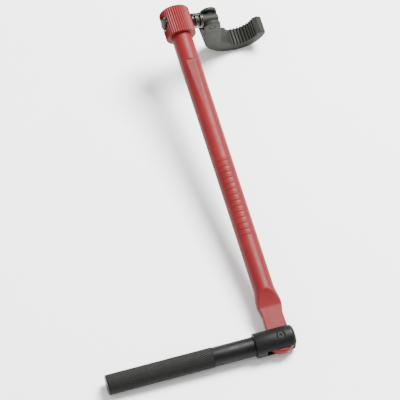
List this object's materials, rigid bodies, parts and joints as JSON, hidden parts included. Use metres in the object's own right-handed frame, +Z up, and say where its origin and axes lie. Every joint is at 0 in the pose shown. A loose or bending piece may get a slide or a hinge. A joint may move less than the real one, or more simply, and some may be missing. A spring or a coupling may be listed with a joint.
{
  "type": "basin wrench",
  "caption": "Plumber's basin wrench: round shaft, swivelling sprung hook jaw on a ribbed head, and a folding knurled cross handle.",
  "frame": {"origin": "middle of the bounding box's footprint, on the bench the wrench lies on", "axes": "+Y runs along the shaft from the handle to the head, +Z is up from the bench, and the handle points to -X"},
  "size_m": [0.1808, 0.2626, 0.0622],
  "materials": {
    "red_enamel": "satin",
    "grey_steel": "phosphated, satin",
    "black_steel": "black oxide, satin",
    "dark_washer": "black oxide, glossy",
    "spring_steel": "bright drawn wire"
  },
  "bodies": {
    "shaft": {"shaft": "red_enamel", "ribbed_head": "red_enamel", "thrust_washer": "dark_washer"},
    "handle": {"handle": "black_steel", "handle_pivot_pin": "black_steel", "detent_ball": "spring_steel", "detent_spring": "spring_steel"},
    "heel": {"heel_jaw": "grey_steel", "stem_washer": "dark_washer", "jaw_spring": "spring_steel"},
    "hook": {"hook_jaw": "grey_steel", "jaw_pivot_pin": "grey_steel"}
  },
  "joints": [
    {"name": "handle_fold", "type": "hinge", "parent": "shaft", "child": "handle", "pos_m": [0.02767, -0.1215, 0.00857], "axis": [-0.0152, -0.1739, 0.9846], "range_deg": [-15, 195]},
    {"name": "jaw_swivel", "type": "hinge", "parent": "shaft", "child": "heel", "pos_m": [0.02702, 0.11632, 0.05057], "axis": [0.9697, 0.045, -0.2399], "continuous": true},
    {"name": "hook_pivot", "type": "hinge", "parent": "heel", "child": "hook", "pos_m": [0.05074, 0.11742, 0.0447], "axis": [-0.0027, 0.9848, 0.1739], "range_deg": [0, 20], "stiffness_Nm_per_rad": 0.08, "springref_deg": -28.65, "deforming": ["jaw_spring"]}
  ]
}
